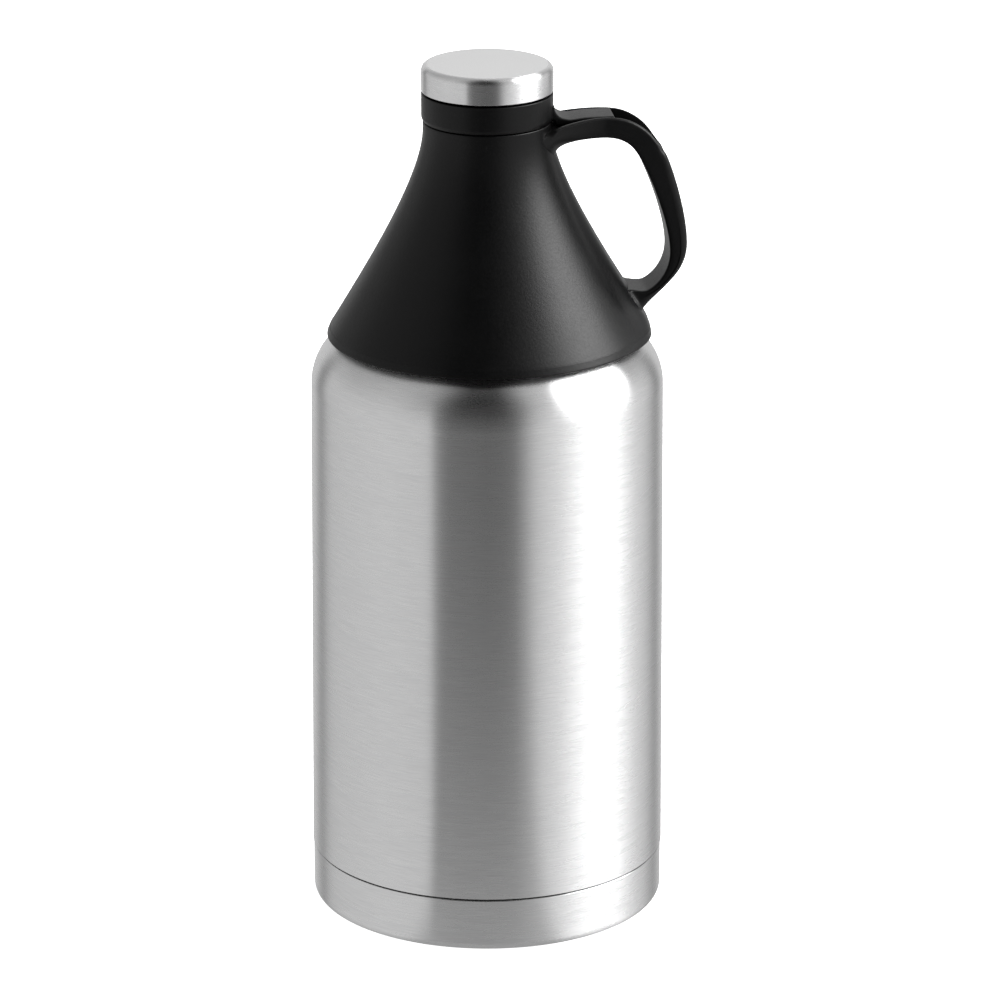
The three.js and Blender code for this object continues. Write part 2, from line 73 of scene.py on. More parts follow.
SKIRT_RADIUS = 37.4
SKIRT_BORE = 33.9
DECK_Z = 239.8
SPOUT_RADIUS = 16.9
SPOUT_BORE = 14.4
SPOUT_TOP = 301.6
FUNNEL_WALL = 2.2
FUNNEL_FOOT_RADIUS = 27.4

KEEPER_RADIUS = 23.6
KEEPER_BORE = 20.2
KEEPER_BOTTOM = 294
KEEPER_TOP = 304
TONGUE_WIDTH = 13
TONGUE_END = 45.2
TONGUE_BOTTOM = 291.95
TONGUE_EDGE_ROUND = 0.8
CAP_RADIUS = 23.65
CAP_BOTTOM = 304.8
CAP_TOP = 314.4
CAP_CROWN = 0.3
CAP_EDGE_ROUND = 2.6
CAP_SKIRT_RADIUS = 19.8
CAP_BORE = 18.9

HANDLE_WIDTH = 17
HANDLE_EDGE_ROUND = 1.6
CHANNEL_WIDTH = 13.8
CHANNEL_RUNOUT = 2                    # extra rounding of the outer edges where the channel has run out
# The loop's two outlines in its middle plane, as cubic stretches: a start point, then for each stretch
# its two control points and its end.
HANDLE_OUTSIDE = [
    [(13.9, 290.6)],
    [(15.9, 290.7), (17.6, 290.9), (19.8, 291.6)],
    [(27.6, 294.1), (43.2, 297.2), (51.3, 293.3)],
    [(58.6, 289.8), (59.7, 285.5), (63.0, 281.8)],
    [(65.0, 279.5), (71.1, 261.0), (71.6, 248.8)],
    [(71.9, 241.1), (68.9, 237.3), (65.2, 233.3)],
    [(61.4, 229.0), (58.2, 226.9), (54.8, 222.2)],
]
HANDLE_INSIDE = [
    [(47, 231.8)],
    [(52.0, 231.4), (55.4, 229.7), (57.9, 231.2)],
    [(62.1, 233.7), (65.1, 238.6), (65.2, 244.3)],
    [(65.3, 253.2), (59.4, 269.3), (55.4, 277.3)],
    [(52.3, 283.7), (49.6, 287.0), (42.5, 287.6)],
    [(37.6, 287.9), (25.0, 286.8), (24.1, 282.1)],
    [(23.6, 279.9), (22.2, 278.8), (20.6, 278.1)],
]
# Depth of the channel by the fraction of the way round the loop, from the neck to the cone's foot.
CHANNEL_DEPTHS = [
    (0, 0.1), (0.05, 0.1), (0.11, 2), (0.181, 3.3), (0.261, 3.5), (0.273, 4.4), (0.316, 4),
    (0.382, 1.7), (0.449, 0.4), (0.53, 0.05), (1, 0.05),
]
ROOT_START = 42                       # distance from the axis where the upper root starts to widen
ROOT_END = 17.5                       # distance from the axis where it is widest
ROOT_HALF_WIDTH = 14.7
FOOT_FILLET = 1.4                     # fillet where the arm's lower end meets the cone
FOOT_FILLET_TOP = 250                 # it is only made below this height
FOOT_FILLET_FADE = 8                  # distance from the middle plane where it has its full width

SCREWS = {
    "handle_screw_upper": ((20.0, 0, 287.9), 0, 8),
    "handle_screw_lower_left": ((50.3, 3.6, 225.8), 31, 5.8),
    "handle_screw_lower_right": ((50.3, -3.6, 225.8), 31, 5.8),
}

# ---- Camera ----
CAMERA_AZIMUTH = -6.5                 # degrees round the growler from the -Y side
CAMERA_DISTANCE = 1.9916
CAMERA_HEIGHT = 0.8208
CAMERA_PITCH = 18.595
CAMERA_LENS = 207.76
CAMERA_SHIFT = 0.0128


# ---- Outlines ----
def arc(centre_r, centre_z, radius, start, end, steps=8):
    """Points of a circular arc between two angles in degrees."""
    points = []
    for i in range(steps + 1):
        angle = math.radians(start + (end - start) * i / steps)
        points.append((centre_r + radius * math.cos(angle), centre_z + radius * math.sin(angle)))
    return points


def bezier(p0, p1, p2, p3, t):
    """Point and tangent of a cubic curve."""
    a, b, c, d = (Vector(p) for p in (p0, p1, p2, p3))
    s = 1 - t
    point = a * s**3 + b * 3 * s * s * t + c * 3 * s * t * t + d * t**3
    tangent = (b - a) * 3 * s * s + (c - b) * 6 * s * t + (d - c) * 3 * t * t
    return point, tangent.normalized()


def rounded(corners, steps=4):
    """Outline whose corners given as (radius, height, rounding) are rounded off."""
    outline = []
    for i, corner in enumerate(corners):
        here = Vector(corner[:2])
        if len(corner) == 2:
            outline.append(tuple(here))
            continue
        before = here + (Vector(corners[i - 1][:2]) - here).normalized() * corner[2]
        after = here + (Vector(corners[(i + 1) % len(corners)][:2]) - here).normalized() * corner[2]
        for k in range(steps + 1):
            t = k / steps
            outline.append(tuple(before * (1 - t) ** 2 + here * 2 * t * (1 - t) + after * t * t))
    return outline


def cone_side(margin, steps=40):
    """Outer side of the cone from rim to neck, grown outwards by a margin."""
    points = []
    for i in range(steps + 1):
        point, tangent = bezier(*CONE_SIDE, i / steps)
        points.append((point.x + margin * tangent.y, point.y - margin * tangent.x))
    return points


def funnel_side(margin, steps=24):
    """Outer side of the pouring funnel from the deck up to the spout."""
    points = []
    for i in range(steps + 1):
        point, _ = bezier((FUNNEL_FOOT_RADIUS, DECK_Z), (FUNNEL_FOOT_RADIUS, 257), (SPOUT_BORE, 268),
                          (SPOUT_BORE, 286), i / steps)
        points.append((point.x + margin, point.y))
    return points


def smoothstep(value, low, high):
    t = min(1, max(0, (value - low) / (high - low)))
    return t * t * (3 - 2 * t)


def land(x, y, z):
    """How far the cone's surface stands out under the handle, in millimetres."""
    azimuth = abs(math.degrees(math.atan2(y, x)))
    settled = 1 - smoothstep(z, CONE_FOOT, LAND_RIM_TOP)
    fade = LAND_FADE + (LAND_RIM_FADE - LAND_FADE) * settled
    down = min(1, max(0, (LAND_TOP - z) / (LAND_TOP - LAND_FULL)))
    down *= 1 - (1 - LAND_RIM_SHARE) * settled
    return LAND_HEIGHT * down * (1 - smoothstep(azimuth, LAND_FLAT, fade))


def raise_land(x, y, z):
    radius = math.hypot(x, y)
    scale = (radius + land(x, y, z)) / radius if radius > 1 else 1
    return x * scale, y * scale, z


# ---- Meshes ----
def finish_mesh(name, bm, material, body, nodes, sharp=38):
    """Object from a bmesh in millimetres, smooth apart from its sharp edges, riding on its body."""
    bmesh.ops.scale(bm, vec=(MM, MM, MM), verts=bm.verts)
    bmesh.ops.recalc_face_normals(bm, faces=bm.faces)
    mesh = bpy.data.meshes.new(name)
    bm.to_mesh(mesh)
    bm.free()
    mesh.shade_smooth()
    mesh.set_sharp_from_angle(angle=math.radians(sharp))
    mesh.materials.append(material)
    piece = bpy.data.objects.new(name, mesh)
    bpy.context.collection.objects.link(piece)
    even = piece.modifiers.new("even_shading", "WEIGHTED_NORMAL")
    even.keep_sharp = True
    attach(piece, body)
    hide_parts(*nodes)
    return piece


def lathe(outline, segments=192, warp=None):
    """Closed solid of revolution about Z. The outline runs anticlockwise."""
    bm = bmesh.new()
    rings = []
    for r, z in outline:
        if r < 1e-6:
            rings.append([bm.verts.new((0, 0, z))])
            continue
        ring = []
        for i in range(segments):
            angle = 2 * math.pi * i / segments
            place = (r * math.cos(angle), r * math.sin(angle), z)
            ring.append(bm.verts.new(warp(*place) if warp else place))
        rings.append(ring)
    pairs = list(zip(rings, rings[1:]))
    if outline[0][0] > 1e-6:
        pairs.append((rings[-1], rings[0]))
    for lower, upper in pairs:
        for i in range(segments):
            j = (i + 1) % segments
            corners = [
                lower[i % len(lower)], lower[j % len(lower)], upper[j % len(upper)], upper[i % len(upper)],
            ]
            unique = list(dict.fromkeys(corners))
            if len(unique) > 2:
                bm.faces.new(unique)
    return bm


def thread_ridge(root, crest, pitch, start, turns, base, tip, facets=96):
    """Helical ridge that rises from inside the root radius to the crest and fades at both ends."""
    buried = root - 0.4 * math.copysign(1, crest - root)
    section = [(0, -base / 2), (1, -tip / 2), (1, tip / 2), (0, base / 2)]
    steps = round(turns * facets)
    bm = bmesh.new()
    rings = []
    for i in range(steps + 1):
        fade = min(1, i * 8 / steps, (steps - i) * 8 / steps)
        angle = 2 * math.pi * turns * i / steps
        ring = []
        for share, height in section:
            radius = buried + (crest - buried) * share * (0.35 + 0.65 * fade)
            z = start + pitch * turns * i / steps + height
            ring.append(bm.verts.new((radius * math.cos(angle), radius * math.sin(angle), z)))
        rings.append(ring)
    for before, after in zip(rings, rings[1:]):
        for k in range(4):
            m = (k + 1) % 4
            bm.faces.new([before[k], before[m], after[m], after[k]])
    bm.faces.new(rings[0])
    bm.faces.new(rings[-1][::-1])
    bmesh.ops.recalc_face_normals(bm, faces=bm.faces)
    return bm


def combine(body, other, operation):
    """Boolean of two closed bmeshes, as a bmesh."""
    objects = []
    for bm in (body, other):
        mesh = bpy.data.meshes.new("part")
        bm.to_mesh(mesh)
        bm.free()
        part = bpy.data.objects.new("part", mesh)
        bpy.context.collection.objects.link(part)
        objects.append(part)
    cut = objects[0].modifiers.new("cut", "BOOLEAN")
    cut.operation = operation
    cut.solver = "EXACT"
    cut.object = objects[1]
    result = bmesh.new()
    graph = bpy.context.evaluated_depsgraph_get()
    result.from_mesh(objects[0].evaluated_get(graph).to_mesh())
    for part in objects:
        mesh = part.data
        bpy.data.objects.remove(part)
        bpy.data.meshes.remove(mesh)
    bmesh.ops.remove_doubles(result, verts=result.verts, dist=1e-4)
    bmesh.ops.dissolve_degenerate(result, edges=result.edges, dist=1e-4)
    return result


def extrude_across(outline, width, edge=0.35):
    """An outline in the handle's plane, given thickness across it, with its long edges eased."""
    bm = bmesh.new()
    half = width / 2
    sections = [(-half, edge), (-half + edge * 0.3, edge * 0.3), (-half + edge, 0)]
    sections += [(-y, inset) for y, inset in reversed(sections)]
    count = len(outline)
    rings = []
    for y, inset in sections:
        ring = []
        for i, here in enumerate(outline):
            before = Vector(outline[i - 1])
            after = Vector(outline[(i + 1) % count])
            along = (after - before).normalized()
            inward = Vector((-along.y, along.x))
            point = Vector(here) + inward * inset
            ring.append(bm.verts.new((point.x, y, point.y)))
        rings.append(ring)
    for before, after in zip(rings, rings[1:]):
        for k in range(count):
            m = (k + 1) % count
            bm.faces.new([before[k], before[m], after[m], after[k]])
    bm.faces.new(rings[0])
    bm.faces.new(rings[-1][::-1])
    bmesh.ops.recalc_face_normals(bm, faces=bm.faces)
    return bm


# ---- Handle ----
def trace(stretches, steps=60):
    """Dense points of a chain of cubic stretches that begins with a start point."""
    points = [Vector(stretches[0][0])]
    for a, b, end in stretches[1:]:
        start = points[-1]
        points += [bezier(start, a, b, end, (i + 1) / steps)[0] for i in range(steps)]
    return points


class Path:
    """A traced curve, read by the fraction of its length."""

    def __init__(self, points):
        self.points = points
        self.reached = [0]
        for before, after in zip(points, points[1:]):
            self.reached.append(self.reached[-1] + (after - before).length)

    def at(self, fraction):
        wanted = fraction * self.reached[-1]
        low, high = 0, len(self.points) - 1
        while high - low > 1:
            middle = (low + high) // 2
            if self.reached[middle] <= wanted:
                low = middle
            else:
                high = middle
        span = self.reached[high] - self.reached[low]
        return self.points[low].lerp(self.points[high], (wanted - self.reached[low]) / span)


def channel_depth(fraction):
    """Depth of the channel below the handle's outer face."""
    for (low, start), (high, end) in zip(CHANNEL_DEPTHS, CHANNEL_DEPTHS[1:]):
        if fraction <= high:
            return start + (end - start) * smoothstep(fraction, low, high)
    return CHANNEL_DEPTHS[-1][1]


def cone_gap(x, y, z):
    """Distance from a point to the cone's outer surface, in millimetres."""
    side = cone_side(0)
    if z >= side[-1][1]:
        radius, lean = CONE_NECK_RADIUS, 1
    else:
        i = next(k for k, point in enumerate(side) if point[1] >= z) or 1
        (r0, z0), (r1, z1) = side[i - 1], side[i]
        radius = r0 + (r1 - r0) * (z - z0) / (z1 - z0)
        lean = (z1 - z0) / math.hypot(r1 - r0, z1 - z0)
    return (math.hypot(x, y) - radius - land(x, y, z)) * lean


def arm_section(channel, thickness):
    """Section across the arm as (across, below the outer face), from the inner face round."""
    half = HANDLE_WIDTH / 2
    plain = 1 - min(1, channel)
    bank = CHANNEL_WIDTH / 2 - CHANNEL_RUNOUT * plain
    edge = HANDLE_EDGE_ROUND
    shoulder = edge * 0.75 + CHANNEL_RUNOUT * plain
    lip = min(0.35, channel / 2)
    flank = thickness - 2 * edge
    side = rounded([
        (0, thickness), (half, thickness, edge), (half, edge + flank * 0.75), (half, edge + flank * 0.5),
        (half, edge + flank * 0.3), (half, 0, shoulder), (bank, 0, lip), (bank, channel, lip), (0, channel),
    ], 6)
    return side + [(-across, below) for across, below in side[-2:0:-1]]


def root_widening(level, x):
    """Share of its plain width that the arm takes near its root. The level is 1 at the outer face."""
    reach = min(1, max(0, (ROOT_START - x) / (ROOT_START - ROOT_END)))
    grown = 1 + (ROOT_HALF_WIDTH / (HANDLE_WIDTH / 2) - 1) * reach**1.4
    hollow = (1 - min(1, max(0, 1 - level / 0.85)) ** 2) ** 0.65
    return grown * (1 + (hollow - 1) * reach**1.5)


def handle_arm():
    """The loop swept from the neck round to the foot of the cone."""
    outside = Path(trace(HANDLE_OUTSIDE))
    inside = Path(trace(HANDLE_INSIDE)[::-1])
    bm = bmesh.new()
    rings = []
    stations = 240
    for i in range(stations + 1):
        fraction = i / stations
        outer = outside.at(fraction)
        inward = inside.at(fraction) - outer
        thickness = inward.length
        ring = []
        for across, below in arm_section(channel_depth(fraction), thickness):
            point = outer + inward * (below / thickness)
            if abs(across) > CHANNEL_WIDTH / 2 or below > thickness / 2:
                across *= root_widening(1 - below / thickness, point.x)
            ring.append(bm.verts.new((point.x, across, point.y)))
        rings.append(ring)
    size = len(rings[0])
    for before, after in zip(rings, rings[1:]):
        for k in range(size):
            m = (k + 1) % size
            bm.faces.new([before[k], before[m], after[m], after[k]])
    bm.faces.new(rings[0])
    bm.faces.new(rings[-1][::-1])
    for vert in bm.verts:
        x, y, z = vert.co
        if z < FOOT_FILLET_TOP:
            reach = FOOT_FILLET - max(0, cone_gap(x, y, z))
            if reach > 0:
                flare = FOOT_FILLET - math.sqrt(FOOT_FILLET**2 - reach**2)
                vert.co.y += math.copysign(flare, y) * min(1, abs(y) / FOOT_FILLET_FADE)
    bmesh.ops.recalc_face_normals(bm, faces=bm.faces)
    return bm


def cone_core(margin):
    """Solid that fills the cone out to its surface plus a margin."""
    outline = [(0, 205), (CONE_RIM_RADIUS + margin, 205), (CONE_RIM_RADIUS + margin, CONE_FOOT + 0.8)]
    outline += [point for point in cone_side(margin) if point[1] > CONE_CREASE[1]]
    outline += [(CONE_NECK_RADIUS + margin, 300), (0, 300)]
    return lathe(outline, 256, raise_land)


# ---- Materials ----
def add(tree, kind, inputs=None, **settings):
    """A new node. Values go on its sockets, and other nodes' outputs are linked to them."""
    node = tree.nodes.new(kind)
    for key, value in settings.items():
        setattr(node, key, value)
    for key, value in (inputs or {}).items():
        if isinstance(value, bpy.types.NodeSocket):
            tree.links.new(value, node.inputs[key])
        else:
            node.inputs[key].default_value = value
    return node


def new_material(name, **values):
    """A material with one Principled shader, whose constants are set on its own sockets."""
    material = bpy.data.materials.new(name)
    material.use_nodes = True
    tree = material.node_tree
    shader = tree.nodes["Principled BSDF"]
    for key, value in values.items():
        shader.inputs[key.replace("_", " ")].default_value = value
    return material, tree, shader


def object_place(tree):
    return add(tree, "ShaderNodeTexCoord").outputs["Object"]


def spread(tree, value, low, high):
    """Takes a noise value from its usual middle range to low..high."""
    span = add(tree, "ShaderNodeMapRange", {
        "Value": value, "From Min": 0.3, "From Max": 0.7, "To Min": low, "To Max": high,
    })
    return span.outputs["Result"]


def noise(tree, vector, scale, detail=3, roughness=0.55):
    return add(tree, "ShaderNodeTexNoise", {
        "Vector": vector, "Scale": scale, "Detail": detail, "Roughness": roughness,
    }).outputs["Fac"]


def ring_noise(tree, around, along, detail=2):
    """Noise drawn out into rings round Z: around sets how short the streaks are, along how fine."""
    place = object_place(tree)
    flat = add(tree, "ShaderNodeVectorMath", {0: place, 1: (1, 1, 0)}, operation="MULTIPLY").outputs[0]
    unit = add(tree, "ShaderNodeVectorMath", {0: flat}, operation="NORMALIZE").outputs[0]
    radius = add(tree, "ShaderNodeVectorMath", {0: flat}, operation="LENGTH").outputs["Value"]
    height = add(tree, "ShaderNodeVectorMath", {0: place, 1: (0, 0, along)}, operation="MULTIPLY").outputs[0]
    rings = add(tree, "ShaderNodeVectorMath", {0: unit, 1: (around, around, 0), 2: height},
                operation="MULTIPLY_ADD").outputs[0]
    depth = add(tree, "ShaderNodeMath", {0: radius, 1: along}, operation="MULTIPLY").outputs[0]
    return add(tree, "ShaderNodeTexNoise", {
        "Vector": rings, "W": depth, "Scale": 1, "Detail": detail, "Roughness": 0.6,
    }, noise_dimensions="4D").outputs["Fac"]


def grey(tree, value, low, high):
    """Colour ramp between two greys, driven by a noise."""
    ramp = add(tree, "ShaderNodeValToRGB", {"Fac": value})
    ramp.color_ramp.elements[0].position = 0.3
    ramp.color_ramp.elements[0].color = (*low, 1)
    ramp.color_ramp.elements[1].position = 0.7
    ramp.color_ramp.elements[1].color = (*high, 1)
    return ramp.outputs["Color"]


def bump(tree, shader, height, strength, distance):
    """Surface relief in metres."""
    node = add(tree, "ShaderNodeBump", {"Height": height, "Strength": strength, "Distance": distance})
    tree.links.new(node.outputs["Normal"], shader.inputs["Normal"])


def brushed_steel():
    """Sheet steel brushed in rings, so that reflections are drawn out along the axis."""
    material, tree, shader = new_material("brushed_steel", Metallic=1.0, Anisotropic=1.0,
                                          Anisotropic_Rotation=0.25)
    tangent = add(tree, "ShaderNodeTangent", direction_type="RADIAL", axis="Z")
    tree.links.new(tangent.outputs["Tangent"], shader.inputs["Tangent"])
    fine = ring_noise(tree, 9, 3800)
    broad = ring_noise(tree, 3, 420, 2)
    tree.links.new(grey(tree, fine, (0.71, 0.71, 0.715), (0.80, 0.80, 0.80)), shader.inputs["Base Color"])
    tree.links.new(spread(tree, broad, 0.26, 0.29), shader.inputs["Roughness"])
    bump(tree, shader, fine, 0.2, 0.000002)
    return material


def satin_steel():
    """The cap's flat top, with a fine even grain."""
    material, tree, shader = new_material("satin_steel", Metallic=1.0)
    place = object_place(tree)
    grain = noise(tree, place, 2600, 4)
    cloud = noise(tree, place, 60, 2)
    tree.links.new(grey(tree, grain, (0.71, 0.71, 0.71), (0.79, 0.79, 0.79)), shader.inputs["Base Color"])
    tree.links.new(spread(tree, cloud, 0.36, 0.44), shader.inputs["Roughness"])
    bump(tree, shader, grain, 0.3, 0.00002)
    return material


def raw_steel():
    """Drawn liner steel, electropolished, with faint drawing rings."""
    material, tree, shader = new_material("raw_steel", Metallic=1.0)
    rings = ring_noise(tree, 2, 700, 3)
    stain = noise(tree, object_place(tree), 45, 4)
    tree.links.new(grey(tree, stain, (0.58, 0.58, 0.57), (0.68, 0.68, 0.67)), shader.inputs["Base Color"])
    tree.links.new(spread(tree, rings, 0.22, 0.36), shader.inputs["Roughness"])
    bump(tree, shader, rings, 0.3, 0.00003)
    return material


def moulded_plastic(name, colour, roughness, grain_scale, relief):
    """Black moulded plastic with a spark-eroded texture and faint handling sheen."""
    material, tree, shader = new_material(name)
    shader.inputs["Specular IOR Level"].default_value = 0.22
    place = object_place(tree)
    grain = noise(tree, place, grain_scale, 3, 0.65)
    cloud = noise(tree, place, 38, 3)
    low = tuple(c * 0.8 for c in colour)
    high = tuple(c * 1.2 for c in colour)
    tree.links.new(grey(tree, cloud, low, high), shader.inputs["Base Color"])
    worn = add(tree, "ShaderNodeMix", {"Factor": 0.6, "A": cloud, "B": grain}).outputs["Result"]
    tree.links.new(spread(tree, worn, roughness - 0.06, roughness + 0.07), shader.inputs["Roughness"])
    bump(tree, shader, grain, 0.6, relief)
    return material


def silicone():
    material, tree, shader = new_material("silicone")
    shader.inputs["Subsurface Weight"].default_value = 0.15
    shader.inputs["Subsurface Radius"].default_value = (0.002, 0.002, 0.002)
    cloud = noise(tree, object_place(tree), 300, 4)
    tree.links.new(grey(tree, cloud, (0.54, 0.55, 0.53), (0.64, 0.65, 0.63)), shader.inputs["Base Color"])
    tree.links.new(spread(tree, cloud, 0.5, 0.65), shader.inputs["Roughness"])
    bump(tree, shader, cloud, 0.4, 0.00003)
    return material


def bead_foam():
    """Moulded bead foam: rounded cells with pinched joints."""
    material, tree, shader = new_material("foam", Roughness=0.9)
    cells = add(tree, "ShaderNodeTexVoronoi", {
        "Vector": object_place(tree), "Scale": 420.0,
    }).outputs["Distance"]
    tree.links.new(grey(tree, cells, (0.88, 0.88, 0.85), (0.74, 0.74, 0.70)), shader.inputs["Base Color"])
    bump(tree, shader, cells, -0.8, 0.0004)
    return material


def sealing_glass():
    material, tree, shader = new_material("sealing_glass")
    flow = noise(tree, object_place(tree), 900, 3)
    tree.links.new(grey(tree, flow, (0.10, 0.11, 0.09), (0.20, 0.21, 0.17)), shader.inputs["Base Color"])
    tree.links.new(spread(tree, flow, 0.12, 0.3), shader.inputs["Roughness"])
    bump(tree, shader, flow, 0.5, 0.00008)
    return material


def painted_gap_shade():
    """Near-black painted shade on the spigot that the base cup is pressed over, to darken the gap at the
    seam.
    """
    material, tree, shader = new_material("painted_gap_shade")
    cloud = noise(tree, object_place(tree), 240, 3)
    tree.links.new(grey(tree, cloud, (0.012, 0.012, 0.012), (0.03, 0.03, 0.03)), shader.inputs["Base Color"])
    tree.links.new(spread(tree, cloud, 0.55, 0.75), shader.inputs["Roughness"])
    bump(tree, shader, cloud, 0.4, 0.00004)
    return material


def getter_metal():
    material, tree, shader = new_material("getter_metal", Metallic=0.8)
    grain = noise(tree, object_place(tree), 4000, 5, 0.7)
    tree.links.new(grey(tree, grain, (0.14, 0.14, 0.14), (0.30, 0.30, 0.29)), shader.inputs["Base Color"])
    tree.links.new(spread(tree, grain, 0.6, 0.85), shader.inputs["Roughness"])
    bump(tree, shader, grain, 0.8, 0.00005)
    return material


def zinc():
    material, tree, shader = new_material("screw_steel", Metallic=1.0)
    cloud = noise(tree, object_place(tree), 700, 4)
    tree.links.new(grey(tree, cloud, (0.52, 0.53, 0.55), (0.68, 0.69, 0.70)), shader.inputs["Base Color"])
    tree.links.new(spread(tree, cloud, 0.25, 0.42), shader.inputs["Roughness"])
    bump(tree, shader, cloud, 0.3, 0.00002)
    return material


# ---- Steel vessel ----
def outer_shell(material, gap_shade_finish):
    centre = WALL_TOP_RADIUS - SHOULDER_ROUND
    shoulder_top = SHOULDER_Z + SHOULDER_ROUND
    outline = rounded([
        (SPIGOT_RADIUS - SHEET, 3.6), (SPIGOT_RADIUS, 3.6), (SPIGOT_RADIUS, SEAM_Z - 0.2),
        (WALL_FOOT_RADIUS - 0.3, SEAM_Z - 0.05, 0.15), (WALL_FOOT_RADIUS, SEAM_Z + 0.4, 0.25),
    ])
    outline += arc(centre, SHOULDER_Z, SHOULDER_ROUND, 0, 90, 28)
    outline += rounded([
        (centre - 1, shoulder_top), (NECK_RADIUS, shoulder_top, 2), (NECK_RADIUS, NECK_TOP, 0.3),
        (NECK_RADIUS - SHEET, NECK_TOP), (NECK_RADIUS - SHEET, shoulder_top - SHEET, 1.2),
        (centre - 1, shoulder_top - SHEET),
    ])
    outline += arc(centre, SHOULDER_Z, SHOULDER_ROUND - SHEET, 90, 0, 28)
    outline += [(WALL_FOOT_RADIUS - SHEET, SEAM_Z + 1.4), (SPIGOT_RADIUS - SHEET, SEAM_Z + 0.9)]
    ridge = thread_ridge(NECK_RADIUS, 32.9, MOUTH_PITCH, MOUTH_THREAD_START, 1.5, 2, 1)
    shell = combine(lathe(outline, 256), ridge, "UNION")
    wall = finish_mesh("shell_wall", shell, material, "vessel", ["outer_shell"])
    wall.data.materials.append(gap_shade_finish)
    # Faces of the spigot under the seam get the near-black painted shade, so that the gap at the seam reads
    # dark.
    spigot_end = (SEAM_Z - 0.1) * MM
    for face in wall.data.polygons:
        if face.center.z < spigot_end:
            face.material_index = 1
    return wall


def base_cup(material):
    wall = 1
    groove_outer, groove_inner, groove_depth, groove_side = 46, 38, 0.8, 1.5
    outline = rounded([
        (0, 0), (groove_inner, 0, 0.6), (groove_inner + groove_side, groove_depth, 0.6),
        (groove_outer - groove_side, groove_depth, 0.6), (groove_outer, 0, 0.6),
    ])
    outline += arc(CUP_RADIUS - CUP_FILLET, CUP_FILLET, CUP_FILLET, -90, 0, 14)
    outline += rounded([
        (CUP_RADIUS, 10), (CUP_RADIUS, CUP_TOP, 0.4), (CUP_RADIUS - wall, CUP_TOP), (CUP_RADIUS - wall, 10),
    ])
    outline += arc(CUP_RADIUS - CUP_FILLET, CUP_FILLET, CUP_FILLET - wall, 0, -90, 10)
    outline += [
        (groove_outer, wall), (groove_outer - groove_side, wall + groove_depth),
        (groove_inner + groove_side, wall + groove_depth), (groove_inner, wall), (0, wall),
    ]
    cup = lathe(outline, 256)
    return finish_mesh("base_cup_skin", cup, material, "vessel", ["base_cup"])


def inner_vessel(material):
    wall = LINER_SHEET
    bore = LINER_NECK_RADIUS - wall
    corner, shoulder, shoulder_z = 9, 17, 194
    corner_r = LINER_RADIUS - corner
    shoulder_r = LINER_RADIUS - shoulder
    lip_z = NECK_TOP + 0.3
    outline = [(0, LINER_FLOOR)]
    outline += arc(corner_r, LINER_FLOOR + corner, corner, -90, 0, 12)
    outline += arc(shoulder_r, shoulder_z, shoulder, 0, 90, 16)
    outline += rounded([
        (shoulder_r - 1, shoulder_z + shoulder), (LINER_NECK_RADIUS, shoulder_z + shoulder, 2),
        (LINER_NECK_RADIUS, lip_z, 0.2), (NECK_RADIUS + 0.2, lip_z, 0.25),
        (NECK_RADIUS + 0.2, lip_z + wall, 0.25), (bore, lip_z + wall, 0.5),
        (bore, shoulder_z + shoulder - wall, 2), (shoulder_r - 1, shoulder_z + shoulder - wall),
    ])
    outline += arc(shoulder_r, shoulder_z, shoulder - wall, 90, 0, 16)
    outline += arc(corner_r, LINER_FLOOR + corner, corner - wall, 0, -90, 12)
    outline += [(0, LINER_FLOOR + wall)]
    return finish_mesh("liner", lathe(outline, 160), material, "vessel", ["inner_vessel"])


def vacuum_parts(steel, glass, getter):
    """End plate, sealing bead, getter holder and getter, closed in under the liner."""
    rim = SPIGOT_RADIUS - SHEET - 0.3
    plate = lathe(rounded([
        (2, 4.7), (rim, 4.7, 0.9), (rim, 7.8, 0.2), (rim - 0.7, 7.8, 0.2), (rim - 0.7, 5.4, 0.5), (2, 5.4),
    ]), 128)
    finish_mesh("end_plate", plate, steel, "vessel", ["vacuum_base_plate"])
    bead = lathe(rounded([
        (0, 3.4), (4.6, 3.4, 0.6), (4.6, 4.1, 0.5), (1.6, 4.4, 0.3), (1.6, 5.2, 0.4), (0, 5.2),
    ]), 48)
    finish_mesh("sealing_bead", bead, glass, "vessel", ["vacuum_seal_plug"])
    holder = lathe(rounded([(6.3, 6.9, 0.15), (7, 6.9, 0.2), (7, 8.7, 0.2), (6.3, 8.7, 0.15)]), 64)
    pill = lathe(rounded([(0, 7), (5.9, 7, 0.5), (5.9, 8.5, 0.5), (0, 8.5)]), 64)
    for bm in (holder, pill):
        bmesh.ops.translate(bm, vec=(24, 0, 0), verts=bm.verts)
    finish_mesh("getter_cup", holder, steel, "vessel", ["getter_holder"])
    finish_mesh("getter_tablet", pill, getter, "vessel", ["getter_pill"])


# ---- Conical pouring top ----
def mouth_gasket(material):
    bottom = NECK_TOP + LINER_SHEET + 0.6
    top = DECK_Z - 0.3
    middle = (bottom + top) / 2
    outline = rounded([
        (28.9, bottom, 0.5), (33.3, bottom, 0.5), (33.3, middle - 0.4, 0.2), (32.9, middle, 0.2),
        (33.3, middle + 0.4, 0.2), (33.3, top, 0.5), (28.9, top, 0.5),
    ])
    ring = lathe(outline, 128)
    return finish_mesh("mouth_seal_ring", ring, material, "mouth_seal", ["mouth_gasket"])


